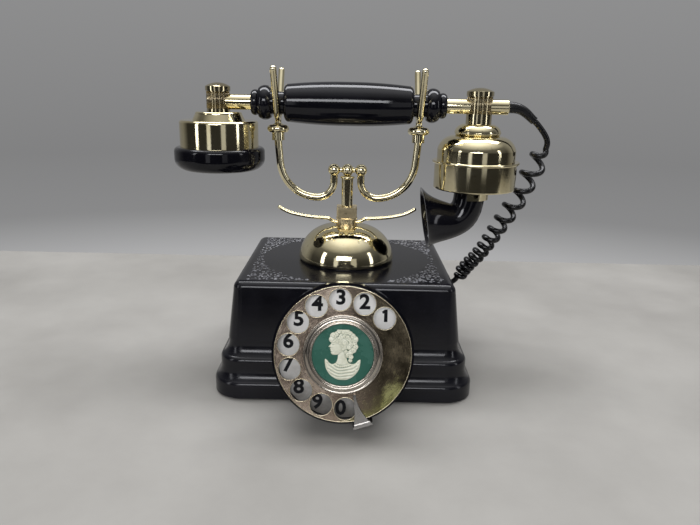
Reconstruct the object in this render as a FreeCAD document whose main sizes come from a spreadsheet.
import FreeCAD, Part
import math
import os
import re

import Sketcher
from FreeCAD import Placement, Rotation, Vector

# Cradle telephone with a finger-wheel dial, in millimetres and degrees.
# The origin is the middle of the base on the table: +X to the right, +Y to the back, +Z up.
SIZES = dict(
    # moulded body
    body_width=142, body_depth=125, body_height=75, body_corner=6, shell_wall=3, edge_round=5, wall_lean=4,
    wall_foot=37, ledge_reach=7.3, ledge_height=27, step_reach=9.3, step_top=23.5, step_foot=18.5,
    shoulder_reach=12, shoulder_height=12, plinth_reach=13.5, plinth_top=9, shell_foot=1, seat_radius=32.5,
    seat_height=0.5,
    # base plate, its feet and screws
    plate_lift=0.6, plate_thickness=2, plate_gap=0.3, foot_radius=6, foot_inset=15, post_radius=5,
    post_inset=12, screw_radius=1.5, screw_head=3, head_height=1.2, screw_depth=9, thread_gap=0.05,
    # dome, neck and block round the plunger
    dome_radius=33.8, dome_lip=0.9, lip_height=1.8, dome_height=24, dome_mouth=9, dome_wall=1.2,
    neck_radius=7.6, neck_groove=6.5, neck_height=5.4, neck_ring=0.8, block_width=14.2, block_depth=12,
    block_height=8.2, plunger_radius=4.1, plunger_gap=0.08, bush_radius=7,
    # trim arms from the neck
    trim_radius=1.25, trim_foot=2.3, trim_root=0.8, trim_run=8, trim_hop=2.6, trim_middle=21.3,
    trim_sag=2.3, trim_rise=7.1, trim_end=11.3,
    # cradle arms and forks
    ball_radius=4.3, ball_sink=0.4, side_ball=9.4, cross_pin=1.8, pin_gap=0.05, post_step=0.6,
    arm_radius=2.6, arm_gap=5.9, arm_drop=8.1, drop_bend=11.4, rise_bend=26.18, arm_lean=5,
    arm_straight=12.77, upright_bend=30, collar_radius=6.3, collar_ring=4.3, ring_height=5.4,
    bulge_height=5, bulge_taper=1, collar_height=14.6, prong_radius=2.2, fork_angle=60, fork_rise=31.5,
    plunger_below=14, plunger_travel=6, clip_radius=6.2, clip_height=1.5, stop_gap=0.3, tip_radius=6,
    # handset, measured out from its middle
    grip_half=43.6, grip_middle=14.6, grip_end=12.6, grip_round=3, groove_radius=7.7, groove_width=8.8,
    rest_gap=0.3, ring_side=9.8, big_ring_width=8.4, tail_side=7.4, small_ring_width=5, tube_radius=5.1,
    tube_round=0.8, tube_bore=3.9, tube_end=108.2, capsule_reach=88.6, knob_sink=1.5, ear_knob=7.9,
    mouth_knob=8.7, knurl_depth=0.4, cap_reach=0.5, knob_below=6.6, knob_band=5, knurl_top=7, cap_top=10,
    knob_top=12.6, shoulder_radius=15.8, shoulder_foot=17.8, shoulder_round=1.5, shoulder_drop=5.6,
    drum_radius=26.6, drum_round=1.8, ear_drum=17.8, case_wall=1.5, ear_radius=30.8, ear_depth=15.8,
    ear_round=8, ear_edge=3, ear_floor=4, ear_dish=2, ear_hole=1.6, ear_holes_pitch=8, capsule_radius=24,
    capsule_gap=0.3, capsule_height=17, mouth_below=11.2, collar_top=9, collar_bulge=15.8, bulge_drop=5.6,
    collar_neck=14.4, neck_drop=2.2, bell_radius=26.8, bell_drop=9.4, bell_skirt=7.6, bead_reach=1,
    bead_height=1.8, mouth_drum=28.2, mouth_drum_height=19.5, drum_edge=1, mouth_capsule=12, horn_offset=3,
    horn_neck=10.6, horn_drop=8, horn_bend=16, horn_turn=90, horn_run=14.5, horn_lift=2.1, mouth_turn=82,
    horn_mouth=22, horn_wall=1.8, horn_plug=2, sleeve_clip=7, sleeve_wall=2, sleeve_gap=0.8, sleeve_arc=106,
    set_hole=1.7, set_side=2.6, boot_radius=3.8, boot_inside=4, boot_straight=2, boot_bend=17, boot_turn=40,
    boot_tail=7, boot_tip=2.9,
    # curly cord
    wire_radius=2, loose_curl=6, tight_curl=4, loose_pitch=14.5, tight_pitch=4.85, cord_lead=22.5,
    cord_tail=8, curl_ramp=8, tail_ramp=7, loose_run=28, closing_run=85, gland_back=40, gland_height=44,
    gland_flange=6, flange_height=1.6, gland_shank=3.4, gland_nose=3.6, nose_length=5, nose_wall=0.8,
    gland_hole_gap=0.5, gland_inside=4.5, inlet_side=45, inlet_height=46, inlet_flange=6.5, inlet_shank=4.5,
    inlet_bore=2.6, inlet_nose=3,
    # dial
    dial_reach=111, dial_height=49, dial_lean=12, wheel_radius=39, wheel_thickness=1.4, hole_pitch=31.3,
    hole_radius=6.4, first_hole=42.2, hole_step=25.714, rim_gap=0.8, rim_radius=40.6, rim_wall=2.5,
    rim_length=8, ledge_depth=6.8, ledge_bore=31, cavity_depth=36, cavity_end=28, snout_length=62,
    snout_end=30, number_thickness=2, frame_thickness=1.8, plate_clear=0.3, bezel_outer=21.7,
    bezel_inner=17.5, bezel_height=2.2, bezel_slope=0.6, bezel_land=1.2, bezel_lip=0.3, medal_height=1.2,
    medal_gap=0.1, cameo_height=1.4, shaft_radius=4, hub_radius=6, hub_gap=0.3, bearing_gap=0.04,
    gear_thickness=2, gear_gap=2.5, tooth_module=0.8, gear_teeth=40, pinion_teeth=10, mesh_gap=0.3,
    governor_angle=225, spindle_radius=1.2, pinion_extra=0.3, weight_radius=5, weight_height=4,
    drum_gap=0.8, governor_wall=0.8, governor_depth=8, bridge_gap=17, bridge_thickness=2, bridge_radius=26,
    pillar_radius=2, pillar_pitch=23, spring_outer=12, spring_height=4, spring_gap=0.3, spring_drop=3,
    contact_pitch=22.5, contact_width=10, contact_depth=6, contact_height=9, leaf_thickness=0.4,
    leaf_reach=5.4, stop_angle=-73, stop_tip=24, stop_tip_half=0.8, stop_half=5.8, stop_thickness=1,
    stop_over=0.6, stop_lip=1, stop_leg=11, stop_foot=4, stop_foot_half=2.5, stop_seat=0.1, fixing_reach=18,
    fixing_low=42, fixing_high=60, dial_screw_pitch=34, dial_screw_depth=5,
    # bell, circuit and switch inside the body
    gong_radius=20, gong_height=13, gong_wall=1.2, gong_reach=26, gong_back=36, gong_lift=26, gong_hub=3,
    gong_land=1, ringer_width=70, ringer_depth=12, ringer_plate=2, coil_radius=6, coil_reach=9,
    coil_height=19, coil_back=15, clapper_pin=1.2, clapper_gap=0.06, armature_half=14, armature_depth=6,
    armature_height=2, clapper_ball=3.5, clapper_wire=0.9, armature_gap=0.6, pin_stand=1, board_width=96,
    board_depth=36, board_inset=8.5, board_thickness=1.6, standoff_height=3, standoff_radius=2.5,
    capacitor_radius=6, capacitor_length=26, core_width=24, core_depth=20, core_height=16, winding_width=14,
    winding_reach=4, terminal_width=34, terminal_depth=9, terminal_height=8, bracket_width=20,
    bracket_depth=14, bracket_wall=2, spring_wall=3, spring_stand=7, leaf_length=22, leaf_width=5,
    leaf_stack=7,
)
QUARTER = math.tan(math.radians(22.5))
DIGITS = 10
EAR_HOLES = 6
CORD_STEPS = 2400
TOOTH_FOOT = (-1.1, 0.36)
TOOTH_TIP = (0.75, 0.14)
DIAL_SCREWS = (30, 150, 270)
PILLARS = (45, 135, 315)
LEAN_AXIS = Vector(1, 0, 0)
ACROSS = Vector(0, 1, 0)

doc = FreeCAD.newDocument("telephone")
sheet = doc.addObject("Spreadsheet::Sheet", "sizes")
for row, (alias, value) in enumerate(SIZES.items(), start=1):
    sheet.set(f"A{row}", alias)
    sheet.set(f"B{row}", str(value))
    sheet.setAlias(f"B{row}", alias)
doc.recompute()
nodes = []


# Formulas and their cells
def linked(formula):
    """Point each size named in a formula at its cell."""
    return re.sub(r"[a-z_]+", lambda word: f"sizes.{word[0]}" if word[0] in SIZES else word[0], str(formula))


def amount(formula):
    return float(sheet.evalExpression(str(formula)))


def bind(thing, name, formula):
    thing.setExpression(name, linked(formula))


def spot(x, y):
    return Vector(amount(x), amount(y), 0)


def polar(radius, angle, aside="0"):
    """Formulas of a point at a radius along an angle, and some way aside from that line."""
    x = f"({radius}) * cos({angle}) - ({aside}) * sin({angle})"
    y = f"({radius}) * sin({angle}) + ({aside}) * cos({angle})"
    return x, y


# Sketches
def new_body(label):
    return doc.addObject("PartDesign::Body", label)


def plane_of(body, role):
    return next(feature for feature in body.Origin.OriginFeatures if feature.Role == role)


def new_sketch(body, role="XY_Plane", lift="0"):
    sketch = body.newObject("Sketcher::SketchObject", "outline")
    sketch.AttachmentSupport = [(plane_of(body, role), "")]
    sketch.MapMode = "FlatFace"
    if lift != "0":
        bind(sketch, "AttachmentOffset.Base.z", lift)
    return sketch


def pin(sketch, piece, end, x, y):
    """Hold one end of a piece of outline at a place given by two formulas."""
    for kind, axis, formula in (("DistanceX", -2, x), ("DistanceY", -1, y)):
        if str(formula) == "0":
            sketch.addConstraint(Sketcher.Constraint("PointOnObject", piece, end, axis))
        else:
            index = sketch.addConstraint(Sketcher.Constraint(kind, -1, 1, piece, end, amount(formula)))
            bind(sketch, f"Constraints[{index}]", formula)


def outline(sketch, corners, closed=True):
    """Join corners (x, y) by lines, or by arcs where a corner has a third value.

    The third value is the arc's height over half its chord, positive where the arc turns left.
    """
    ends = []
    count = len(corners) if closed else len(corners) - 1
    for index in range(count):
        ax, ay = corners[index][:2]
        bx, by = corners[(index + 1) % len(corners)][:2]
        bulge = corners[index][2] if len(corners[index]) == 3 else 0
        turn = amount(bulge)
        start, finish = spot(ax, ay), spot(bx, by)
        if turn == 0:
            ends.append((sketch.addGeometry(Part.LineSegment(start, finish)), 1, 2))
            continue
        via_x = f"(({ax}) + ({bx})) / 2 + {bulge} * (({by}) - ({ay})) / 2"
        via_y = f"(({ay}) + ({by})) / 2 - {bulge} * (({bx}) - ({ax})) / 2"
        via = spot(via_x, via_y)
        if turn > 0:
            ends.append((sketch.addGeometry(Part.Arc(start, via, finish)), 1, 2))
        else:
            ends.append((sketch.addGeometry(Part.Arc(finish, via, start)), 2, 1))
        mark = sketch.addGeometry(Part.Point(via), True)
        pin(sketch, mark, 1, via_x, via_y)
        sketch.addConstraint(Sketcher.Constraint("PointOnObject", mark, 1, ends[-1][0]))
    for index, (piece, first, last) in enumerate(ends):
        pin(sketch, piece, first, *corners[index][:2])
        follower = (index + 1) % len(ends)
        if closed or follower:
            link = Sketcher.Constraint("Coincident", piece, last, ends[follower][0], ends[follower][1])
            sketch.addConstraint(link)
        else:
            pin(sketch, piece, last, *corners[-1][:2])
    return sketch


def crown(radius, rise):
    """The third value of an arc that ends square to the axis, as a dome's does."""
    return f"tan(atan(({rise}) / ({radius})) / 2)"


def circle(sketch, x, y, radius):
    piece = sketch.addGeometry(Part.Circle(spot(x, y), Vector(0, 0, 1), amount(radius)))
    pin(sketch, piece, 3, x, y)
    index = sketch.addConstraint(Sketcher.Constraint("Radius", piece, amount(radius)))
    bind(sketch, f"Constraints[{index}]", radius)
    return sketch


def rounded(sketch, half_x, half_y, corner):
    """A rectangle with round corners that starts at the middle of its right side."""
    x, y, r = f"({half_x})", f"({half_y})", f"({corner})"
    near_x, near_y = f"({x} - {r})", f"({y} - {r})"
    return outline(sketch, [
        (x, "0"), (x, near_y, QUARTER), (near_x, y), (f"-{near_x}", y, QUARTER), (f"-{x}", near_y),
        (f"-{x}", f"-{near_y}", QUARTER), (f"-{near_x}", f"-{y}"), (near_x, f"-{y}", QUARTER),
        (x, f"-{near_y}")])


# Features
def feature(body, kind, profile):
    thing = body.newObject(f"PartDesign::{kind}", kind.lower())
    thing.Profile = profile
    return thing


def pad(body, sketch, length, down=False):
    thing = feature(body, "Pad", sketch)
    bind(thing, "Length", length)
    thing.Reversed = down
    return thing


def pocket(body, sketch, length=None, ahead=False):
    """Cut a sketch out of its body, through all of it or for a length, and prove that it cuts."""
    doc.recompute()
    before = body.Shape.Volume
    thing = feature(body, "Pocket", sketch)
    if length is None:
        thing.Type = "ThroughAll"
        thing.Midplane = True
    else:
        bind(thing, "Length", length)
        thing.Reversed = ahead
    doc.recompute()
    if body.Shape.Volume >= before:
        raise ValueError(f"a cut in {body.Label} takes nothing away")
    return thing


def revolve(body, corners, axis="V_Axis", plane="XZ_Plane"):
    sketch = outline(new_sketch(body, plane), corners)
    thing = feature(body, "Revolution", sketch)
    thing.ReferenceAxis = (sketch, [axis])
    return thing


def sweep(body, profile, spine):
    doc.recompute()
    thing = feature(body, "AdditivePipe", profile)
    thing.Spine = (spine, [f"Edge{number}" for number in range(1, len(spine.Shape.Edges) + 1)])
    return thing


def ball(body, x, y, z, radius):
    thing = body.newObject("PartDesign::AdditiveSphere", "ball")
    bind(thing, "Radius", radius)
    for way, formula in zip("xyz", (x, y, z)):
        bind(thing, f"Placement.Base.{way}", formula)
    return thing


# Plain solids
def place(thing, x="0", y="0", z="0", axis=None, angle="0"):
    if axis is not None:
        thing.Placement = Placement(Vector(), Rotation(axis, amount(angle)))
        bind(thing, "Placement.Rotation.Angle", angle)
    for way, formula in zip("xyz", (x, y, z)):
        if str(formula) != "0":
            bind(thing, f"Placement.Base.{way}", formula)
    return thing


def on_dial(thing):
    """Stand a piece in the dial's frame: the wheel's face at zero, its outward side up."""
    return place(thing, "0", "-dial_reach", "dial_height", LEAN_AXIS, "90 - dial_lean")


def cuboid(x, y, z, length, width, height):
    """A block centred on x and y that stands on z."""
    thing = doc.addObject("Part::Box", "block")
    for name, formula in (("Length", length), ("Width", width), ("Height", height)):
        bind(thing, name, formula)
    return place(thing, f"({x}) - ({length}) / 2", f"({y}) - ({width}) / 2", z)


def rod(x, y, z, radius, length, axis=None, angle="0"):
    thing = doc.addObject("Part::Cylinder", "rod")
    bind(thing, "Radius", radius)
    bind(thing, "Height", length)
    return place(thing, x, y, z, axis, angle)


def fused(*shapes):
    thing = doc.addObject("Part::MultiFuse", "joined")
    thing.Shapes = list(shapes)
    return thing


def cut(base, *tools):
    thing = doc.addObject("Part::Cut", "trimmed")
    thing.Base = base
    thing.Tool = tools[0] if len(tools) == 1 else fused(*tools)
    return thing


def group(shapes):
    thing = doc.addObject("Part::Compound", "set")
    thing.Links = list(shapes)
    return thing


def mirrored(source):
    thing = doc.addObject("Part::Mirroring", "twin")
    thing.Source = source
    thing.Normal = Vector(1, 0, 0)
    return thing


def hoop(x, z, radius, angle):
    """A circle across the handset's upright plane, turned about the Y axis, for a loft."""
    thing = doc.addObject("Part::Circle", "hoop")
    bind(thing, "Radius", radius)
    return place(thing, x, "0", z, ACROSS, angle)


def loft(sections):
    thing = doc.addObject("Part::Loft", "loft")
    thing.Sections = sections
    thing.Solid = True
    return thing


def screw(x, y, z, depth, up=True):
    """A pan-head screw whose head seats at z and whose shank runs up, or down, from there."""
    shank_foot = z if up else f"({z}) - ({depth})"
    head_foot = f"({z}) - head_height" if up else z
    shank = rod(x, y, shank_foot, "screw_radius", depth)
    return fused(shank, rod(x, y, head_foot, "screw_head", "head_height"))


def node(thing, label):
    thing.Label = label
    nodes.append(thing)
    return thing


def turned(label, corners, x="0", y="0", z="0"):
    body = new_body(label)
    revolve(body, corners)
    return place(body, x, y, z)


# Heights that the pieces share
TOP_INSIDE = "(body_height - shell_wall)"
PLATE_FOOT = "(shell_foot + plate_lift)"
PLATE_TOP = f"({PLATE_FOOT} + plate_thickness)"
DOME_FOOT = "(body_height + seat_height)"
DOME_TOP = f"({DOME_FOOT} + dome_height)"
BLOCK_FOOT = f"({DOME_TOP} + neck_height)"
BLOCK_TOP = f"({BLOCK_FOOT} + block_height)"
ARM_LOW = f"({BLOCK_TOP} + arm_gap)"
BALL_Z = f"({ARM_LOW} + drop_bend + arm_drop)"
FORK_X = ("(side_ball + drop_bend + rise_bend * cos(arm_lean) + arm_straight * sin(arm_lean)"
          " + upright_bend * (1 - cos(arm_lean)))")
COLLAR_Z = (f"({ARM_LOW} + rise_bend * (1 - sin(arm_lean)) + arm_straight * cos(arm_lean)"
            " + upright_bend * sin(arm_lean))")
FORK_LOW = f"({COLLAR_Z} + collar_height)"
AXIS_Z = f"({FORK_LOW} + prong_radius + rest_gap + groove_radius)"
WALL_ANGLE = "atan(wall_lean / (body_height - edge_round - wall_foot))"
POSTS = [(f"{x} * (body_width / 2 - post_inset)", f"{y} * (body_depth / 2 - post_inset)")
         for x in (-1, 1) for y in (-1, 1)]
FEET = [(f"{x} * (body_width / 2 + plinth_reach - foot_inset)",
         f"{y} * (body_depth / 2 + plinth_reach - foot_inset)") for x in (-1, 1) for y in (-1, 1)]
HOUSING_SCREWS = (("-fixing_reach", "fixing_low"), ("fixing_reach", "fixing_low"), ("0", "fixing_high"))


def wall_at(height):
    """How far the outside of the wall stands out from its top line at a height."""
    return f"(wall_lean * (body_height - edge_round - ({height})) / (body_height - edge_round - wall_foot))"


def lining_at(height):
    """How far the inside of the leaning wall stands out from the top line at a height."""
    return f"(wall_lean - shell_wall - wall_lean * (({height}) - wall_foot) / ({TOP_INSIDE} - wall_foot))"


# Moulded body
def outer_form(label):
    """The body's outside as a solid: a core, with the stepped wall carried round it."""
    body = new_body(label)
    core = rounded(new_sketch(body, lift="shell_foot"), "body_width / 2 - edge_round",
                   "body_depth / 2 - edge_round", "body_corner - edge_round")
    pad(body, core, "body_height - shell_foot")
    spine = rounded(new_sketch(body), "body_width / 2", "body_depth / 2", "body_corner")
    side = "body_width / 2"
    profile = outline(new_sketch(body, "XZ_Plane"), [
        (f"{side} - edge_round", "shell_foot"), (f"{side} + plinth_reach", "shell_foot"),
        (f"{side} + plinth_reach", "plinth_top", 0.24),
        (f"{side} + shoulder_reach", "shoulder_height", -0.19),
        (f"{side} + step_reach", "step_foot"), (f"{side} + step_reach", "step_top", 0.33),
        (f"{side} + ledge_reach", "ledge_height", -0.26), (f"{side} + wall_lean", "wall_foot"),
        (side, "body_height - edge_round", QUARTER), (f"{side} - edge_round", "body_height")])
    sweep(body, profile, spine)
    return body


def hollow(body):
    """Three rounded rectangles, lofted, take out the inside of the body."""
    levels = (("shell_foot", "plinth_reach - shell_wall"), ("wall_foot", "wall_lean - shell_wall"),
              (TOP_INSIDE, "-shell_wall"))
    sections = [rounded(new_sketch(body, lift=height), f"body_width / 2 + {reach}",
                        f"body_depth / 2 + {reach}", f"body_corner + {reach}") for height, reach in levels]
    thing = feature(body, "SubtractiveLoft", sections[0])
    thing.Sections = sections[1:]
    thing.Ruled = True


def body_shell():
    body = outer_form("body_shell")
    pad(body, circle(new_sketch(body, lift="body_height"), "0", "0", "seat_radius"), "seat_height")
    hollow(body)
    posts = new_sketch(body, lift=PLATE_TOP)
    holes = new_sketch(body, lift=PLATE_TOP)
    for x, y in POSTS:
        circle(posts, x, y, "post_radius")
        circle(holes, x, y, "screw_radius + thread_gap")
    pad(body, posts, f"{TOP_INSIDE} - {PLATE_TOP}")
    pocket(body, holes, "screw_depth", ahead=True)
    bore = circle(new_sketch(body, lift=TOP_INSIDE), "0", "0", "bush_radius + thread_gap")
    pocket(body, bore, "shell_wall + seat_height", ahead=True)
    gland = circle(new_sketch(body, "YZ_Plane"), "gland_back", "gland_height", "gland_shank + gland_hole_gap")
    pocket(body, gland, "body_width", ahead=True)
    inlet = circle(new_sketch(body, "XZ_Plane"), "-inlet_side", "inlet_height",
                   "inlet_shank + gland_hole_gap")
    pocket(body, inlet, "body_depth")
    fixing = new_sketch(body, "XZ_Plane")
    for x, z in HOUSING_SCREWS:
        circle(fixing, x, z, "screw_radius + thread_gap")
    pocket(body, fixing, "body_depth", ahead=True)
    node(body, "body_shell")


def base_plate():
    body = new_body("base_plate")
    slope = "(plinth_reach - wall_lean) / (wall_foot - shell_foot)"
    reach = f"plinth_reach - shell_wall - plate_gap - {slope} * (plate_lift + plate_thickness)"
    sketch = rounded(new_sketch(body, lift=PLATE_FOOT), f"body_width / 2 + {reach}",
                     f"body_depth / 2 + {reach}", f"body_corner + {reach}")
    pad(body, sketch, "plate_thickness")
    holes = new_sketch(body, lift=PLATE_FOOT)
    for x, y in POSTS:
        circle(holes, x, y, "screw_radius + thread_gap")
    pocket(body, holes)
    node(body, "base_plate")
    node(group([rod(x, y, "0", "foot_radius", PLATE_FOOT) for x, y in FEET]), "rubber_feet")
    length = "plate_thickness + screw_depth - stop_gap"
    node(group([screw(x, y, PLATE_FOOT, length) for x, y in POSTS]), "base_screws")


# Dome, neck and trim
def dome_and_neck():
    skirt, crown = f"{DOME_FOOT} + lip_height", DOME_TOP
    node(turned("dome_cover", [
        ("dome_radius - dome_lip", DOME_FOOT, 0.2), ("dome_radius", skirt, 0.4), ("dome_mouth", crown),
        ("bush_radius + thread_gap", crown), ("bush_radius + thread_gap", f"{crown} - dome_wall"),
        ("dome_mouth", f"{crown} - dome_wall", -0.4), ("dome_radius - dome_wall", skirt, -0.2),
        ("dome_radius - dome_lip - dome_wall", DOME_FOOT)]), "dome_cover")
    body = new_body("plunger_guide")
    bore = "plunger_radius + plunger_gap"
    groove_foot, groove_top = f"{DOME_TOP} + neck_ring", f"{BLOCK_FOOT} - neck_ring"
    revolve(body, [
        (bore, TOP_INSIDE), ("bush_radius", TOP_INSIDE), ("bush_radius", DOME_TOP), ("neck_radius", DOME_TOP),
        ("neck_radius", groove_foot), ("neck_groove", groove_foot),
        ("neck_groove", groove_top), ("neck_radius", groove_top),
        ("neck_radius", BLOCK_FOOT), (bore, BLOCK_FOOT)])
    base = new_sketch(body, lift=BLOCK_FOOT)
    rounded(base, "block_width / 2", "block_depth / 2", "block_depth / 10")
    circle(base, "0", "0", bore)
    pad(body, base, "block_height")
    node(body, "plunger_guide")


def trim_arms():
    """A thin wire arm that leaves the neck's groove, hops over the dome and rises to its tip."""
    body = new_body("trim_wire")
    level = f"({DOME_TOP} + trim_foot)"
    start, turn = "-(neck_groove - trim_root)", "-(neck_groove + trim_root)"
    hop = "tan(atan(trim_hop / trim_run) / 2)"
    slope = "atan(trim_sag / trim_middle)"
    climb = "atan((trim_rise - trim_sag) / trim_end)"
    knee = f"{turn} - trim_run - trim_middle"
    tip, tip_z = f"{knee} - trim_end", f"{level} + trim_hop + trim_rise"
    spine = outline(new_sketch(body, "XZ_Plane"), [
        (start, level), (turn, level, f"(-{hop})"),
        (f"{turn} - trim_run / 2", f"{level} + trim_hop / 2", hop),
        (f"{turn} - trim_run", f"{level} + trim_hop", f"(-tan({slope} / 2))"),
        (knee, f"{level} + trim_hop + trim_sag", f"(-tan({climb} / 2 - {slope}))"),
        (tip, tip_z)], closed=False)
    profile = circle(new_sketch(body, "YZ_Plane", start), "0", level, "trim_radius")
    sweep(body, profile, spine)
    ball(body, tip, "0", tip_z, "trim_radius")
    arm = cut(body, rod("0", "0", DOME_TOP, "neck_groove", "neck_height"))
    node(arm, "left_trim_arm")
    node(mirrored(arm), "right_trim_arm")


# Cradle
def cradle_post():
    foot = f"{TOP_INSIDE} - plunger_below"
    collar = "plunger_radius + post_step"
    crown = f"{BALL_Z} - ball_radius"
    body = new_body("cradle_post")
    revolve(body, [
        ("0", foot), ("tip_radius", foot), ("tip_radius", f"{foot} + clip_height"),
        ("plunger_radius", f"{foot} + clip_height"), ("plunger_radius", f"{crown} - clip_height"),
        (collar, f"{crown} - clip_height", 0.5), (collar, crown),
        ("plunger_radius - post_step", f"{crown} + ball_sink"), ("0", f"{crown} + ball_sink")])
    ball(body, "0", "0", BALL_Z, "ball_radius")
    half_pin = "side_ball - ball_radius - pin_gap"
    pin_end = new_sketch(body, "YZ_Plane", f"-({half_pin})")
    pad(body, circle(pin_end, "0", BALL_Z, "cross_pin"), f"2 * ({half_pin})")
    node(body, "cradle_post")
    clip_top = f"{TOP_INSIDE} - plunger_travel - stop_gap"
    clip = turned("plunger_clip", [
        ("plunger_radius", f"{clip_top} - clip_height"), ("clip_radius", f"{clip_top} - clip_height"),
        ("clip_radius", clip_top), ("plunger_radius", clip_top)])
    node(clip, "plunger_clip")


def cradle_arms():
    """A rod that drops from its ball, swings out in a deep U and climbs to the fork's collar."""
    body = new_body("left_arm")
    drop = f"{ARM_LOW} + drop_bend"
    low_x = "-(side_ball + drop_bend)"
    rise_x, rise_z = f"{low_x} - rise_bend * cos(arm_lean)", f"{ARM_LOW} + rise_bend * (1 - sin(arm_lean))"
    top_x, top_z = f"{rise_x} - arm_straight * sin(arm_lean)", f"{rise_z} + arm_straight * cos(arm_lean)"
    rise_turn = math.tan(math.radians(90 - SIZES["arm_lean"]) / 4)
    upright_turn = math.tan(math.radians(SIZES["arm_lean"]) / 4)
    spine = outline(new_sketch(body, "XZ_Plane"), [
        ("-side_ball", BALL_Z), ("-side_ball", drop, -QUARTER), (low_x, ARM_LOW, -rise_turn),
        (rise_x, rise_z), (top_x, top_z, -upright_turn), (f"-{FORK_X}", COLLAR_Z)], closed=False)
    sweep(body, circle(new_sketch(body, lift=BALL_Z), "-side_ball", "0", "arm_radius"), spine)
    ball(body, "-side_ball", "0", BALL_Z, "ball_radius")
    node(body, "left_arm")
    node(mirrored(body), "right_arm")


def forks():
    """A turned collar that carries a flared U of two prongs, front and back."""
    body = new_body("left_fork")
    bulge_foot = f"{COLLAR_Z} + ring_height"
    bulge_top = f"{bulge_foot} + bulge_height"
    revolve(body, [
        ("0", COLLAR_Z), ("collar_ring", COLLAR_Z), ("collar_ring", bulge_foot),
        ("collar_radius", bulge_foot, 0.8), ("collar_ring", bulge_top),
        ("prong_radius", f"{bulge_top} + bulge_taper"), ("prong_radius", FORK_LOW), ("0", FORK_LOW)])
    bend = "(prong_radius + rest_gap + groove_radius)"
    knee_z = f"{FORK_LOW} + {bend} * (1 - cos(fork_angle))"
    tip_z = f"{FORK_LOW} + fork_rise"
    turn = math.tan(math.radians(SIZES["fork_angle"]) / 4)
    for side in (1, -1):
        knee_y = f"{side} * {bend} * sin(fork_angle)"
        tip_y = f"{knee_y} + {side} * ({tip_z} - ({knee_z})) / tan(fork_angle)"
        spine = outline(new_sketch(body, "YZ_Plane"), [
            ("0", FORK_LOW, side * turn), (knee_y, knee_z), (tip_y, tip_z)], closed=False)
        sweep(body, circle(new_sketch(body, "XZ_Plane"), "0", FORK_LOW, "prong_radius"), spine)
        ball(body, "0", tip_y, tip_z, "prong_radius")
    place(body, f"-{FORK_X}")
    node(body, "left_fork")
    node(mirrored(body), "right_fork")


# Handset
def handle():
    """The turned grip, and the brass tube that runs through it to both capsules."""
    body = new_body("handle_grip")
    side = []
    groove = "grip_half + groove_width"
    ring = f"{groove} + big_ring_width"
    tail = f"{ring} + small_ring_width"
    rim = "tube_radius"
    right = [
        (tail, rim), (tail, "tail_side", 0.45), (ring, "tail_side"), (ring, "ring_side", 0.4),
        (groove, "ring_side"), (groove, "groove_radius"), ("grip_half", "groove_radius"),
        ("grip_half", "grip_end - grip_round", QUARTER), ("grip_half - grip_round", "grip_end", 0.03),
        ("0", "grip_middle", 0.03)]
    left = [(f"-({x})", y) for x, y in (corner[:2] for corner in reversed(right[:-1]))]
    for corner, bulge in zip(left, (QUARTER, 0, 0, 0, 0.4, 0, 0.45, 0, 0)):
        side.append(corner + ((bulge,) if bulge else ()))
    revolve(body, right + side, axis="H_Axis")
    node(place(body, z=AXIS_Z), "handle_grip")
    tube = new_body("handle_tube")
    start, end = "-(capsule_reach - knob_sink)", "tube_end"
    revolve(tube, [(start, "tube_bore"), (end, "tube_bore"), (end, "tube_radius - tube_round", QUARTER),
                   (f"{end} - tube_round", "tube_radius"), (start, "tube_radius")], axis="H_Axis")
    node(place(tube, z=AXIS_Z), "handle_tube")


def knob(label, radius, below, reach, through):
    """A knob with a smooth base band, a knurled waist and a domed cap, bored for the tube."""
    body = new_body(label)
    waist, cap = f"{radius} - knurl_depth", f"({radius} + cap_reach)"
    revolve(body, [
        ("0", f"-{below}"), (radius, f"-{below}"), (radius, "-knob_band"), (waist, "-knob_band"),
        (waist, "knurl_top"), (cap, "knurl_top"), (cap, "cap_top", crown(cap, "knob_top - cap_top")),
        ("0", "knob_top")])
    bore = circle(new_sketch(body, "YZ_Plane", "0" if through else "knob_sink"), "0", "0", "tube_radius")
    if through:
        pocket(body, bore)
    else:
        pocket(body, bore, cap, ahead=True)
    node(place(body, reach, z=AXIS_Z), label)


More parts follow.
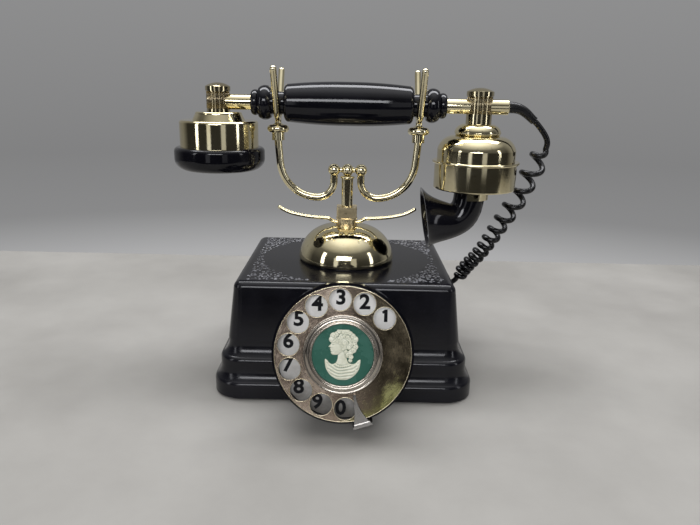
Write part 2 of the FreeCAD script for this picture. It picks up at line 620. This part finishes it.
def earpiece():
    reach = "-capsule_reach"
    knob("ear_knob", "ear_knob", "knob_below", reach, through=False)
    top = "-knob_below"
    drum_top = f"{top} - shoulder_drop"
    drum_foot = f"{drum_top} - ear_drum"
    shell = turned("ear_shell", [
        ("0", top), ("shoulder_radius - shoulder_round", top, -QUARTER),
        ("shoulder_radius", f"{top} - shoulder_round"),
        ("shoulder_foot", drum_top), ("drum_radius - drum_round", drum_top, -QUARTER),
        ("drum_radius", f"{drum_top} - drum_round"), ("drum_radius", drum_foot),
        ("drum_radius - case_wall", drum_foot), ("drum_radius - case_wall", f"{drum_top} - case_wall"),
        ("0", f"{drum_top} - case_wall")],
        reach, z=AXIS_Z)
    node(shell, "ear_shell")
    foot = f"{drum_foot} - ear_depth"
    seat = "capsule_radius + capsule_gap"
    cap = new_body("ear_cap")
    revolve(cap, [
        (seat, drum_foot), ("ear_radius - ear_edge", drum_foot, -QUARTER),
        ("ear_radius", f"{drum_foot} - ear_edge"), ("ear_radius", f"{foot} + ear_round", -QUARTER),
        ("ear_radius - ear_round", foot, crown("ear_radius - ear_round", "ear_dish")),
        ("0", f"{foot} + ear_dish"), ("0", f"{foot} + ear_floor"), (seat, f"{foot} + ear_floor")])
    holes = circle(new_sketch(cap, lift=foot), "0", "0", "ear_hole")
    for index in range(EAR_HOLES):
        circle(holes, *polar("ear_holes_pitch", 360 / EAR_HOLES * index), "ear_hole")
    pocket(cap, holes)
    node(place(cap, reach, z=AXIS_Z), "ear_cap")
    floor = f"{AXIS_Z} + {foot} + ear_floor"
    node(rod(reach, "0", floor, "capsule_radius", "capsule_height"), "receiver_capsule")


def mouthpiece():
    reach = "capsule_reach"
    knob("mouth_knob", "mouth_knob", "mouth_below", reach, through=True)
    top = "-mouth_below"
    bulge, neck = f"{top} - bulge_drop", f"{top} - bulge_drop - neck_drop"
    bell, skirt = f"{neck} - bell_drop", f"{neck} - bell_drop - bell_skirt"
    node(turned("mouth_bell", [
        ("0", top), ("collar_top", top, -0.35), ("collar_bulge", bulge, -0.3), ("collar_neck", neck, -0.36),
        ("bell_radius", bell), ("bell_radius", skirt), ("bell_radius - case_wall", skirt),
        ("bell_radius - case_wall", bell, 0.36), ("collar_neck - case_wall", f"{neck} - case_wall"),
        ("0", f"{neck} - case_wall")], reach, z=AXIS_Z), "mouth_bell")
    foot = f"{skirt} - mouth_drum_height"
    drum = new_body("mouth_drum")
    bead = "mouth_drum + bead_reach"
    revolve(drum, [
        ("0", foot), ("mouth_drum - drum_edge", foot, QUARTER), ("mouth_drum", f"{foot} + drum_edge"),
        ("mouth_drum", f"{skirt} - bead_height"), (bead, f"{skirt} - bead_height", 0.8), (bead, skirt),
        ("mouth_drum - case_wall", skirt), ("mouth_drum - case_wall", f"{foot} + case_wall"),
        ("0", f"{foot} + case_wall")])
    hole = circle(new_sketch(drum, lift=foot), "-horn_offset", "0", "horn_neck")
    pocket(drum, hole)
    node(place(drum, reach, z=AXIS_Z), "mouth_drum")
    plug = f"{AXIS_Z} + {foot} + horn_plug"
    node(rod(reach, "0", plug, "capsule_radius", "mouth_capsule"), "transmitter_capsule")
    return "capsule_reach - horn_offset", f"{AXIS_Z} + {foot}"


def horn(neck_x, neck_z):
    """A curved speaking horn that grows from its neck to a wide mouth, and the clip on its neck."""
    def bent(angle):
        return (f"{neck_x} - horn_bend * (1 - cos({angle}))",
                f"{neck_z} - horn_drop - horn_bend * sin({angle})", angle)

    def ahead(share):
        x, z, angle = bent("horn_turn")
        tilt = f"horn_turn + (mouth_turn - horn_turn) * {share}"
        return f"{x} - horn_run * {share}", f"{z} + horn_lift * {share * share}", tilt

    stations = [((neck_x, f"{neck_z} + horn_plug", "0"), 0), ((neck_x, neck_z, "0"), 0),
                ((neck_x, f"{neck_z} - horn_drop", "0"), 0.02), (bent("horn_turn / 2"), 0.1),
                (bent("horn_turn"), 0.3), (ahead(0.45), 0.5), (ahead(0.8), 0.75), (ahead(1), 1)]
    solids = []
    for wall in ("0", "horn_wall"):
        hoops = [hoop(*spots[:2], f"horn_neck + (horn_mouth - horn_neck) * {growth} - {wall}", spots[2])
                 for spots, growth in stations]
        solids.append(loft(hoops))
    node(cut(*solids), "horn")
    clip = new_body("horn_clip")
    inner, outer = "horn_neck + sleeve_gap", "horn_neck + sleeve_gap + sleeve_wall"
    start, end = "-sleeve_arc", "sleeve_arc"
    sketch = new_sketch(clip)
    sweep_bulge = math.tan(math.radians(2 * SIZES["sleeve_arc"]) / 4)
    outline(sketch, [(*polar(inner, start), sweep_bulge), polar(inner, end),
                     (*polar(outer, end), -sweep_bulge), polar(outer, start)])
    pad(clip, sketch, "sleeve_clip", down=True)
    hole = circle(new_sketch(clip, "XZ_Plane"), "set_side", "-sleeve_clip / 2", "set_hole")
    pocket(clip, hole, outer, ahead=True)
    node(place(clip, neck_x, z=neck_z), "horn_clip")


def cord_boot():
    """A bent strain relief that plugs into the tube's end and narrows to the cord."""
    def along(share):
        angle = f"boot_turn * {share}"
        x = f"tube_end + boot_straight + boot_bend * sin({angle})"
        z = f"{AXIS_Z} - boot_bend * (1 - cos({angle}))"
        return x, z, f"90 + {angle}"

    tail_x, tail_z, tail_angle = along(1)
    plug = rod("tube_end - boot_inside", "0", AXIS_Z, "boot_radius", "boot_inside", ACROSS, "90")
    hoops = [hoop("tube_end", AXIS_Z, "boot_radius", "90"),
             hoop("tube_end + boot_straight", AXIS_Z, "boot_radius", "90"),
             hoop(*along(0.5)[:2], "boot_radius * 0.6 + boot_tip * 0.4", along(0.5)[2]),
             hoop(tail_x, tail_z, "boot_radius * 0.3 + boot_tip * 0.7", tail_angle),
             hoop(f"{tail_x} + boot_tail * cos(boot_turn)", f"{tail_z} - boot_tail * sin(boot_turn)",
                  "boot_tip", tail_angle)]
    node(fused(plug, loft(hoops)), "cord_boot")


# Curly cord
ROUTE = ((137.6, 0.5, 162), (137, 2, 154.5), (133.6, 5, 148), (129.8, 9, 137), (126, 13, 124.5),
         (121.9, 17, 113), (117.4, 20.5, 103), (113.2, 24, 94), (109, 27, 84), (102.5, 31, 71.5),
         (94.5, 35, 61), (88.5, 39, 49.5))


def cord_ends():
    """Where the cord leaves the boot and where it enters the gland, from their own sizes."""
    turn = math.radians(amount("boot_turn"))
    bend, tail = amount("boot_bend"), amount("boot_tail")
    start = Vector(amount("tube_end + boot_straight") + bend * math.sin(turn) + tail * math.cos(turn), 0,
                   amount(AXIS_Z) - bend * (1 - math.cos(turn)) - tail * math.sin(turn))
    outward = Vector(math.cos(turn), 0, -math.sin(turn))
    slope = math.radians(amount(WALL_ANGLE))
    normal = Vector(math.cos(slope), 0, math.sin(slope))
    side = f"body_width / 2 + {wall_at('gland_height')}"
    wall = Vector(amount(side), amount("gland_back"), amount("gland_height"))
    end = wall + normal * amount("flange_height + nose_length")
    return start, outward, end, normal


def cord_axis():
    """The line that the curls wind round: a clamped curve of degree two on the route's points."""
    start, outward, end, normal = cord_ends()
    lead = 2 * amount("wire_radius")
    poles = [start, start + outward * lead] + [Vector(*point) for point in ROUTE] + [end + normal * lead, end]
    curve = Part.BSplineCurve()
    spans = len(poles) - 2
    curve.buildFromPolesMultsKnots(poles, [3] + [1] * (spans - 1) + [3], list(range(spans + 1)), False, 2)
    return curve


def smooth(value):
    value = min(max(value, 0), 1)
    return value * value * (3 - 2 * value)


def cord_points():
    """Points each quarter of a turn along the cord, straight at its ends and curled between them."""
    curve = cord_axis()
    length = curve.length()
    lead, tail = amount("cord_lead"), amount("cord_tail")
    loose_pitch, tight_pitch = amount("loose_pitch"), amount("tight_pitch")
    loose_curl, tight_curl = amount("loose_curl"), amount("tight_curl")
    turns, quarters, points = 0, 0, []
    side = curve.tangent(0)[0].cross(ACROSS).normalize()
    for index in range(CORD_STEPS + 1):
        reach = length * index / CORD_STEPS
        at = curve.parameterAtDistance(reach)
        ahead = curve.tangent(at)[0]
        side = (side - ahead * side.dot(ahead)).normalize()
        into, left = reach - lead, length - tail - reach
        closing = smooth((into - amount("loose_run")) / amount("closing_run"))
        inside = into > 0 and left > 0
        if inside:
            turns += length / CORD_STEPS / (loose_pitch + (tight_pitch - loose_pitch) * closing)
        if index in (0, CORD_STEPS) or (inside and turns >= quarters / 4):
            angle = 2 * math.pi * turns
            curl = loose_curl + (tight_curl - loose_curl) * closing
            curl *= smooth(into / amount("curl_ramp")) * smooth(left / amount("tail_ramp"))
            swing = side * math.cos(angle) + ahead.cross(side) * math.sin(angle)
            points.append(curve.value(at) + swing * curl)
            quarters += inside
    return points


def curly_cord():
    """One unbroken tube: arcs through the curl points, each continuing the last one's direction."""
    start, outward, end, normal = cord_ends()
    points = cord_points()
    tangents = [outward]
    for before, after in zip(points[:-2], points[2:]):
        tangents.append((after - before).normalize())
    tangents.append(normal * -1)
    edges = []
    for index in range(len(points) - 1):
        edges += biarc(points[index], tangents[index], points[index + 1], tangents[index + 1])
    spine = Part.Wire(edges)
    radius = amount("wire_radius")
    sides = 8
    frame = Rotation(Vector(0, 0, 1), outward)
    ring = [start + frame.multVec(Vector(radius * math.cos(2 * math.pi * number / sides),
                                         radius * math.sin(2 * math.pi * number / sides), 0))
            for number in range(sides)]
    tube = spine.makePipeShell([Part.makePolygon(ring + ring[:1])], True, False)
    thing = doc.addObject("Part::Feature", "curly_cord")
    thing.Shape = tube
    section = sides / 2 * radius * radius * math.sin(2 * math.pi / sides)
    print("cord length", round(spine.Length, 1), "volume over section times length",
          round(tube.Volume / (section * spine.Length), 4))
    print("least gap of the cord to itself", round(least_gap(spine, radius), 2))
    node(thing, "curly_cord")


def biarc(start, leaving, end, arriving):
    """Two arcs that join two points with given directions."""
    chord = end - start
    both = leaving + arriving
    square = 2 * (1 - leaving.dot(arriving))
    reach = chord.dot(both)
    if square < 1e-9:
        span = chord.dot(chord) / (2 * reach)
    else:
        span = (math.sqrt(reach * reach + square * chord.dot(chord)) - reach) / square
    joint = (start + leaving * span + end - arriving * span) * 0.5
    return [arc(start, leaving, joint), arc(end, arriving * -1, joint, backwards=True)]


def arc(start, leaving, end, backwards=False):
    """An arc that leaves a point in a given direction, or a line where it hardly bends."""
    chord = end - start
    rise = leaving - chord * (leaving.dot(chord) / chord.dot(chord))
    middle = (start + end) * 0.5
    ordered = (end, start) if backwards else (start, end)
    if rise.Length < 1e-6:
        return Part.LineSegment(*ordered).toShape()
    middle += rise.normalize() * (chord.Length / 2 * math.tan(chord.getAngle(leaving) / 2))
    return Part.Arc(ordered[0], middle, ordered[1]).toShape()


def least_gap(spine, radius):
    """The smallest space between turns, measured on points two wire widths or more apart along the cord."""
    step = radius / 2
    places = spine.discretize(Distance=step)
    apart = int(4 * radius * math.pi / 2 / step)
    return min((places[i] - places[j]).Length for i in range(len(places))
               for j in range(i + apart, len(places))) - 2 * radius


def glands():
    """The cord's gland on the right wall, square to it, and the inlet bush for the line on the back wall."""
    shank = "shell_wall / cos(WALL) + gland_inside".replace("WALL", WALL_ANGLE)
    gland = turned("cord_gland", [
        ("0", f"-({shank})"), ("gland_shank", f"-({shank})"), ("gland_shank", "0"), ("gland_flange", "0"),
        ("gland_flange", "flange_height"), ("gland_nose", "flange_height"),
        ("wire_radius + nose_wall", "flange_height + nose_length"), ("0", "flange_height + nose_length")])
    place(gland, f"body_width / 2 + {wall_at('gland_height')}", "gland_back", "gland_height", ACROSS,
          f"90 deg - {WALL_ANGLE}")
    node(gland, "cord_gland")
    inlet = turned("line_inlet", [
        ("inlet_bore", f"-({shank})"), ("inlet_shank", f"-({shank})"), ("inlet_shank", "0"),
        ("inlet_flange", "0"), ("inlet_flange", "flange_height"),
        ("inlet_shank", "flange_height + inlet_nose"),
        ("inlet_bore", "flange_height + inlet_nose")])
    place(inlet, "-inlet_side", f"body_depth / 2 + {wall_at('inlet_height')}", "inlet_height", LEAN_AXIS,
          f"{WALL_ANGLE} - 90 deg")
    node(inlet, "line_inlet")


# Dial, in its own frame: the wheel's face is at zero
WHEEL_BACK = "(-wheel_thickness)"
RIM_FACE = f"({WHEEL_BACK} - rim_gap)"
LEDGE = f"({RIM_FACE} - ledge_depth)"
FRAME_TOP = f"({LEDGE} + frame_thickness)"
NUMBER_TOP = f"({FRAME_TOP} + number_thickness)"
GEAR_TOP = f"({LEDGE} - gear_gap)"
GEAR_FOOT = f"({GEAR_TOP} - gear_thickness)"
BRIDGE_TOP = f"({LEDGE} - bridge_gap)"
BRIDGE_FOOT = f"({BRIDGE_TOP} - bridge_thickness)"
GOVERNOR = "(tooth_module * (gear_teeth + pinion_teeth) / 2 + mesh_gap)"


def dial_housing(form):
    """The cup that carries the dial, trimmed where it meets the stepped front of the body."""
    cup = on_dial(turned("cup", [
        ("0", "-snout_length"), ("snout_end", "-snout_length"), ("rim_radius", f"{RIM_FACE} - rim_length"),
        ("rim_radius", RIM_FACE), ("rim_radius - rim_wall", RIM_FACE), ("rim_radius - rim_wall", LEDGE),
        ("ledge_bore", LEDGE), ("cavity_end", "-cavity_depth"), ("0", "-cavity_depth")]))
    reach = [f"body_depth / 2 + {wall_at(z)} + screw_depth / 2" for x, z in HOUSING_SCREWS]
    pilots = [rod(x, "0", z, "screw_radius + thread_gap", y, LEAN_AXIS, "90")
              for (x, z), y in zip(HOUSING_SCREWS, reach)]
    bores = []
    for angle in DIAL_SCREWS:
        x, y = polar("dial_screw_pitch", angle)
        bores.append(rod(x, y, f"{LEDGE} - dial_screw_depth", "screw_radius + thread_gap",
                         "dial_screw_depth"))
    node(cut(cup, form, *pilots, on_dial(group(bores))), "dial_housing")
    screws = []
    for (x, z), y in zip(HOUSING_SCREWS, reach):
        head = f"-(body_depth / 2 + {lining_at(z + ' + screw_head')}) + thread_gap"
        shank = rod(x, head, z, "screw_radius", f"{y} + ({head}) - stop_gap", LEAN_AXIS, "90")
        cap = rod(x, f"{head} + head_height", z, "screw_head", "head_height", LEAN_AXIS, "90")
        screws.append(fused(shank, cap))
    node(group(screws), "housing_screws")


def dial_plates():
    clear = "rim_radius - rim_wall - plate_clear"
    frame = new_body("dial_frame")
    sketch = circle(new_sketch(frame, lift=LEDGE), "0", "0", clear)
    circle(sketch, "0", "0", "shaft_radius + bearing_gap")
    circle(sketch, *polar(GOVERNOR, "governor_angle"), "spindle_radius + bearing_gap")
    for angle in DIAL_SCREWS:
        circle(sketch, *polar("dial_screw_pitch", angle), "screw_radius + thread_gap")
    pad(frame, sketch, "frame_thickness")
    node(on_dial(frame), "dial_frame")
    plate = new_body("number_plate")
    sketch = circle(new_sketch(plate, lift=FRAME_TOP), "0", "0", clear)
    circle(sketch, "0", "0", "hub_radius + hub_gap")
    pad(plate, sketch, "number_thickness")
    sunk = new_sketch(plate, lift=FRAME_TOP)
    for angle in DIAL_SCREWS:
        circle(sunk, *polar("dial_screw_pitch", angle), "screw_head + plate_clear")
    pocket(plate, sunk, "head_height + plate_clear", ahead=True)
    node(on_dial(plate), "number_plate")
    length = "frame_thickness + dial_screw_depth - stop_gap"
    spots = [polar("dial_screw_pitch", angle) for angle in DIAL_SCREWS]
    node(on_dial(group([screw(x, y, FRAME_TOP, length, up=False) for x, y in spots])), "dial_screws")


def finger_wheel():
    wheel = new_body("finger_wheel")
    sketch = circle(new_sketch(wheel, lift=WHEEL_BACK), "0", "0", "wheel_radius")
    circle(sketch, "0", "0", "shaft_radius")
    for digit in range(DIGITS):
        circle(sketch, *polar("hole_pitch", f"first_hole + {digit} * hole_step"), "hole_radius")
    pad(wheel, sketch, "wheel_thickness")
    node(on_dial(wheel), "finger_wheel")
    bezel = turned("wheel_bezel", [
        ("bezel_inner", "0"), ("bezel_outer", "0"), ("bezel_outer - bezel_slope", "bezel_height * 0.7", 0.3),
        ("bezel_inner + bezel_land", "bezel_height", 0.2), ("bezel_inner", "medal_height + bezel_lip")])
    node(on_dial(bezel), "wheel_bezel")
    medal = new_body("medallion")
    pad(medal, circle(new_sketch(medal), "0", "0", "bezel_inner - medal_gap"), "medal_height")
    node(on_dial(medal), "medallion")
    shaft = turned("dial_shaft", [
        ("0", BRIDGE_FOOT), ("shaft_radius", BRIDGE_FOOT), ("shaft_radius", f"{NUMBER_TOP} + hub_gap"),
        ("hub_radius", f"{NUMBER_TOP} + hub_gap"), ("hub_radius", WHEEL_BACK), ("shaft_radius", WHEEL_BACK),
        ("shaft_radius", "0"), ("0", "0")])
    node(on_dial(shaft), "dial_shaft")


# The bust's outline as shares of the medallion's radius, with the arcs between its corners
BUST = ((-0.55, -0.54, 0.3), (0.56, -0.49, 0.25), (0.35, -0.21, -0.25), (0.23, 0.09, 0.35),
        (0.41, 0.38, 0.35), (0.26, 0.69, 0.3), (-0.11, 0.79, 0.3), (-0.32, 0.56), (-0.33, 0.47),
        (-0.43, 0.33), (-0.35, 0.29), (-0.38, 0.22), (-0.35, 0.13, 0.4), (-0.18, 0.07, -0.15),
        (-0.15, -0.13, -0.2))


def cameo():
    """A raised bust in profile, a plain figure on even proportions."""
    body = new_body("cameo")
    corners = [(f"{x} * bezel_inner", f"{y} * bezel_inner", *bend) for x, y, *bend in BUST]
    pad(body, outline(new_sketch(body, lift="medal_height"), corners), "cameo_height")
    node(on_dial(body), "cameo")


def gear_outline(teeth, centre, phase):
    """A spur gear's rim: straight-flanked teeth, thinned for backlash."""
    module, pitch = amount("tooth_module"), amount("tooth_module") * teeth / 2
    points = []
    for tooth in range(teeth):
        for side, (rise, share) in ((-1, TOOTH_FOOT), (-1, TOOTH_TIP), (1, TOOTH_TIP), (1, TOOTH_FOOT)):
            angle = phase + 2 * math.pi / teeth * (tooth + side * share)
            radius = pitch + rise * module
            points.append(centre + Vector(radius * math.cos(angle), radius * math.sin(angle), 0))
    return Part.Face(Part.makePolygon(points + points[:1]))


def gear(label, teeth, centre, phase, height, bore):
    thing = doc.addObject("Part::Feature", label)
    blank = gear_outline(teeth, centre, phase).extrude(Vector(0, 0, height))
    if bore:
        blank = blank.cut(Part.makeCylinder(bore, height, centre))
    thing.Shape = blank
    return thing


def dial_train():
    """The gear on the shaft, and the governor whose pinion it drives."""
    wheel_teeth, pinion_teeth = int(amount("gear_teeth")), int(amount("pinion_teeth"))
    angle = math.radians(amount("governor_angle"))
    main = gear("main_gear", wheel_teeth, Vector(0, 0, amount(GEAR_FOOT)), angle, amount("gear_thickness"),
                amount("shaft_radius"))
    node(on_dial(main), "main_gear")
    x, y = polar(GOVERNOR, "governor_angle")
    centre = spot(x, y) + Vector(0, 0, amount(f"{GEAR_FOOT} - pinion_extra"))
    facing = angle + math.pi + math.pi / pinion_teeth
    pinion = gear("pinion", pinion_teeth, centre, facing, amount("gear_thickness + 2 * pinion_extra"), 0)
    spindle = rod(x, y, f"{BRIDGE_TOP} + stop_gap", "spindle_radius",
                  f"{FRAME_TOP} - {BRIDGE_TOP} - 2 * stop_gap")
    weights = rod(x, y, f"{BRIDGE_TOP} + governor_depth / 2 - weight_height / 2", "weight_radius",
                  "weight_height")
    node(on_dial(fused(pinion, spindle, weights)), "governor_spindle")
    inside = "weight_radius + drum_gap"
    cup = cut(rod(x, y, BRIDGE_TOP, f"{inside} + governor_wall", "governor_depth"),
              rod(x, y, BRIDGE_TOP, inside, "governor_depth"))
    plate = cut(rod("0", "0", BRIDGE_FOOT, "bridge_radius", "bridge_thickness"),
                rod("0", "0", BRIDGE_FOOT, "shaft_radius + bearing_gap", "bridge_thickness"))
    pillars = [rod(*polar("pillar_pitch", turn), BRIDGE_TOP, "pillar_radius", "bridge_gap")
               for turn in PILLARS]
    node(on_dial(fused(plate, cup, *pillars)), "dial_bridge")
    spring = f"{GEAR_FOOT} - spring_drop - spring_height"
    coil = turned("return_spring", [
        ("shaft_radius + spring_gap", spring), ("spring_outer", spring),
        ("spring_outer", f"{spring} + spring_height"),
        ("shaft_radius + spring_gap", f"{spring} + spring_height")])
    node(on_dial(coil), "return_spring")
    base = cuboid("0", "contact_pitch", f"{LEDGE} - contact_height", "contact_width", "contact_depth",
                  "contact_height")
    leaves = [cuboid("0", f"contact_pitch - contact_depth / 2 + {share} * contact_depth",
                     f"{LEDGE} - contact_height - leaf_reach", "contact_width / 2", "leaf_thickness",
                     "contact_height") for share in (0.25, 0.5, 0.75)]
    node(on_dial(fused(base, *leaves)), "pulse_contacts")


def finger_stop():
    """A flared steel blade over the wheel with a raised lip, turned back to its foot on the housing."""
    body = new_body("finger_stop")
    angle = "stop_angle"
    leg_inner = "rim_radius + stop_seat + stop_thickness"
    leg_outer = f"{leg_inner} + stop_thickness"
    blade = [(*polar(leg_outer, angle, "stop_half"), -0.22),
             (*polar("stop_tip", angle, "stop_tip_half"), 0.5),
             (*polar("stop_tip", angle, "-stop_tip_half"), -0.08), polar(leg_outer, angle, "-stop_half")]
    pad(body, outline(new_sketch(body, lift="stop_over"), blade), "stop_thickness")
    lip_inner, lip_half = f"{leg_outer} - 2 * stop_lip", "(stop_half - stop_lip)"
    lip = [polar(leg_outer, angle, "stop_half"), polar(lip_inner, angle, lip_half),
           polar(lip_inner, angle, f"-{lip_half}"), polar(leg_outer, angle, "-stop_half")]
    pad(body, outline(new_sketch(body, lift="stop_over + stop_thickness"), lip), "stop_lip")
    leg = [polar(leg_outer, angle, "stop_half"), polar(leg_inner, angle, "stop_half"),
           polar(leg_inner, angle, "-stop_half"), polar(leg_outer, angle, "-stop_half")]
    pad(body, outline(new_sketch(body, lift="stop_over + stop_thickness"), leg), "stop_leg", down=True)
    seat = "rim_radius + stop_seat"
    foot = [polar(leg_outer, angle, "stop_foot_half"), polar(seat, angle, "stop_foot_half"),
            polar(seat, angle, "-stop_foot_half"), polar(leg_outer, angle, "-stop_foot_half")]
    pad(body, outline(new_sketch(body, lift="stop_over + stop_thickness - stop_leg"), foot), "stop_foot")
    node(on_dial(body), "finger_stop")


# Bell, circuit and switch inside the body
def ringer():
    plate_top = f"{PLATE_TOP} + ringer_plate"
    crown = "gong_lift + gong_height"
    frame = [cuboid("0", "(gong_back + coil_back) / 2", PLATE_TOP, "ringer_width",
                    "gong_back - coil_back + ringer_depth", "ringer_plate")]
    pin_top = f"{plate_top} + coil_height + armature_gap + armature_height"
    frame.append(rod("0", "coil_back", plate_top, "clapper_pin", f"{pin_top} - ({plate_top}) + pin_stand"))
    gongs = {}
    for label, sign in (("left_gong", -1), ("right_gong", 1)):
        x = f"{sign} * gong_reach"
        frame.append(rod(x, "gong_back", plate_top, "gong_hub", f"{crown} - gong_wall - ({plate_top})"))
        gongs[label] = turned(label, [
            ("gong_radius", "gong_lift", 0.33), ("gong_hub + gong_land", crown),
            ("screw_radius + thread_gap", crown), ("screw_radius + thread_gap", f"{crown} - gong_wall"),
            ("gong_hub + gong_land", f"{crown} - gong_wall", -0.33),
            ("gong_radius - gong_wall", "gong_lift")], x, "gong_back")
    bores = [rod(f"{sign} * gong_reach", "gong_back", f"{crown} - gong_wall - screw_depth",
                 "screw_radius + thread_gap", "screw_depth") for sign in (-1, 1)]
    node(cut(fused(*frame), *bores), "ringer_frame")
    for label, body in gongs.items():
        node(body, label)
    node(group([screw(f"{sign} * gong_reach", "gong_back", crown, "screw_depth", up=False)
                for sign in (-1, 1)]), "gong_screws")
    node(group([rod(f"{sign} * coil_reach", "coil_back", plate_top, "coil_radius", "coil_height")
                for sign in (-1, 1)]), "ringer_coils")
    lift = f"{plate_top} + coil_height + armature_gap"
    bar = cuboid("0", "coil_back", lift, "2 * armature_half", "armature_depth", "armature_height")
    middle = f"{lift} + armature_height / 2"
    arm = rod("0", "coil_back + armature_depth / 3", middle, "clapper_wire",
              "gong_back - coil_back - armature_depth / 3", LEAN_AXIS, "-90")
    knocker = doc.addObject("Part::Sphere", "knocker")
    bind(knocker, "Radius", "clapper_ball")
    place(knocker, "0", "gong_back", middle)
    hole = rod("0", "coil_back", lift, "clapper_pin + clapper_gap", "armature_height")
    node(cut(fused(bar, arm, knocker), hole), "clapper")


def circuit():
    """The circuit board on its standoffs at the front, with the coil, capacitor and terminals on it."""
    middle = "-(body_depth / 2 - board_inset - board_depth / 2)"
    lift = f"{PLATE_TOP} + standoff_height"
    board = cuboid("0", middle, lift, "board_width", "board_depth", "board_thickness")
    legs = [rod(f"{x} * (board_width / 2 - 2 * standoff_radius)",
                f"{middle} + {y} * (board_depth / 2 - 2 * standoff_radius)", PLATE_TOP, "standoff_radius",
                "standoff_height") for x in (-1, 1) for y in (-1, 1)]
    node(fused(board, *legs), "circuit_board")
    top = f"{lift} + board_thickness"
    core = cuboid("-board_width / 4", middle, top, "core_width", "core_depth", "core_height")
    winding = cuboid("-board_width / 4", middle, f"{top} + core_height / 4", "winding_width",
                     "core_depth + 2 * winding_reach", "core_height / 2")
    node(fused(core, winding), "induction_coil")
    node(rod("board_width / 8", middle, f"{top} + capacitor_radius", "capacitor_radius", "capacitor_length",
             ACROSS, "90"), "capacitor")
    back = f"{middle} + board_depth / 2 - terminal_depth / 2"
    node(cuboid("board_width / 8", back, top, "terminal_width", "terminal_depth", "terminal_height"),
         "terminal_block")


def hook_switch():
    """The bracket under the plunger, its spring and its stack of contact leaves."""
    table = f"{TOP_INSIDE} - plunger_below - spring_stand"
    foot = cuboid("0", "0", PLATE_TOP, "bracket_width", "bracket_depth", "bracket_wall")
    back = cuboid("-leaf_stack / 2", "bracket_depth / 2 - bracket_wall / 2", PLATE_TOP,
                  "bracket_width + leaf_stack", "bracket_wall", f"{table} - {PLATE_TOP}")
    shelf = cuboid("0", "0", f"{table} - bracket_wall", "bracket_width", "bracket_depth", "bracket_wall")
    node(fused(foot, back, shelf), "switch_bracket")
    coil = turned("hook_spring", [
        ("tip_radius - spring_wall", table), ("tip_radius", table), ("tip_radius", f"{table} + spring_stand"),
        ("tip_radius - spring_wall", f"{table} + spring_stand")])
    node(coil, "hook_spring")
    side = "-(bracket_width / 2 + leaf_stack / 2)"
    front = "bracket_depth / 2 - bracket_wall - leaf_width / 2"
    stack = cuboid(side, front, f"{table} - leaf_length", "leaf_stack", "leaf_width", "leaf_length / 2")
    leaves = [cuboid(f"{side} + {share} * leaf_stack", front, f"{table} - leaf_length / 2", "leaf_thickness",
                     "leaf_width", "leaf_length / 2") for share in (-0.3, 0, 0.3)]
    node(fused(stack, *leaves), "switch_leaves")


def check():
    """Stop if any feature failed, or if a node's solid isn't whole."""
    doc.recompute()
    for thing in doc.Objects:
        if "Invalid" in thing.State or "Error" in thing.State:
            raise ValueError(f"{thing.Label} failed to build")
    for thing in nodes:
        if thing.Shape.isNull() or not thing.Shape.isValid() or not thing.Shape.Solids:
            raise ValueError(f"{thing.Label} has no valid solid")


body_shell()
base_plate()
dome_and_neck()
trim_arms()
cradle_post()
cradle_arms()
forks()
handle()
earpiece()
horn(*mouthpiece())
cord_boot()
glands()
curly_cord()
dial_housing(outer_form("front_form"))
dial_plates()
finger_wheel()
cameo()
dial_train()
finger_stop()
ringer()
circuit()
hook_switch()
check()
os.makedirs("parts", exist_ok=True)
for thing in nodes:
    thing.Shape.exportStep(f"parts/{thing.Label}.step")
print(len(nodes), "nodes")
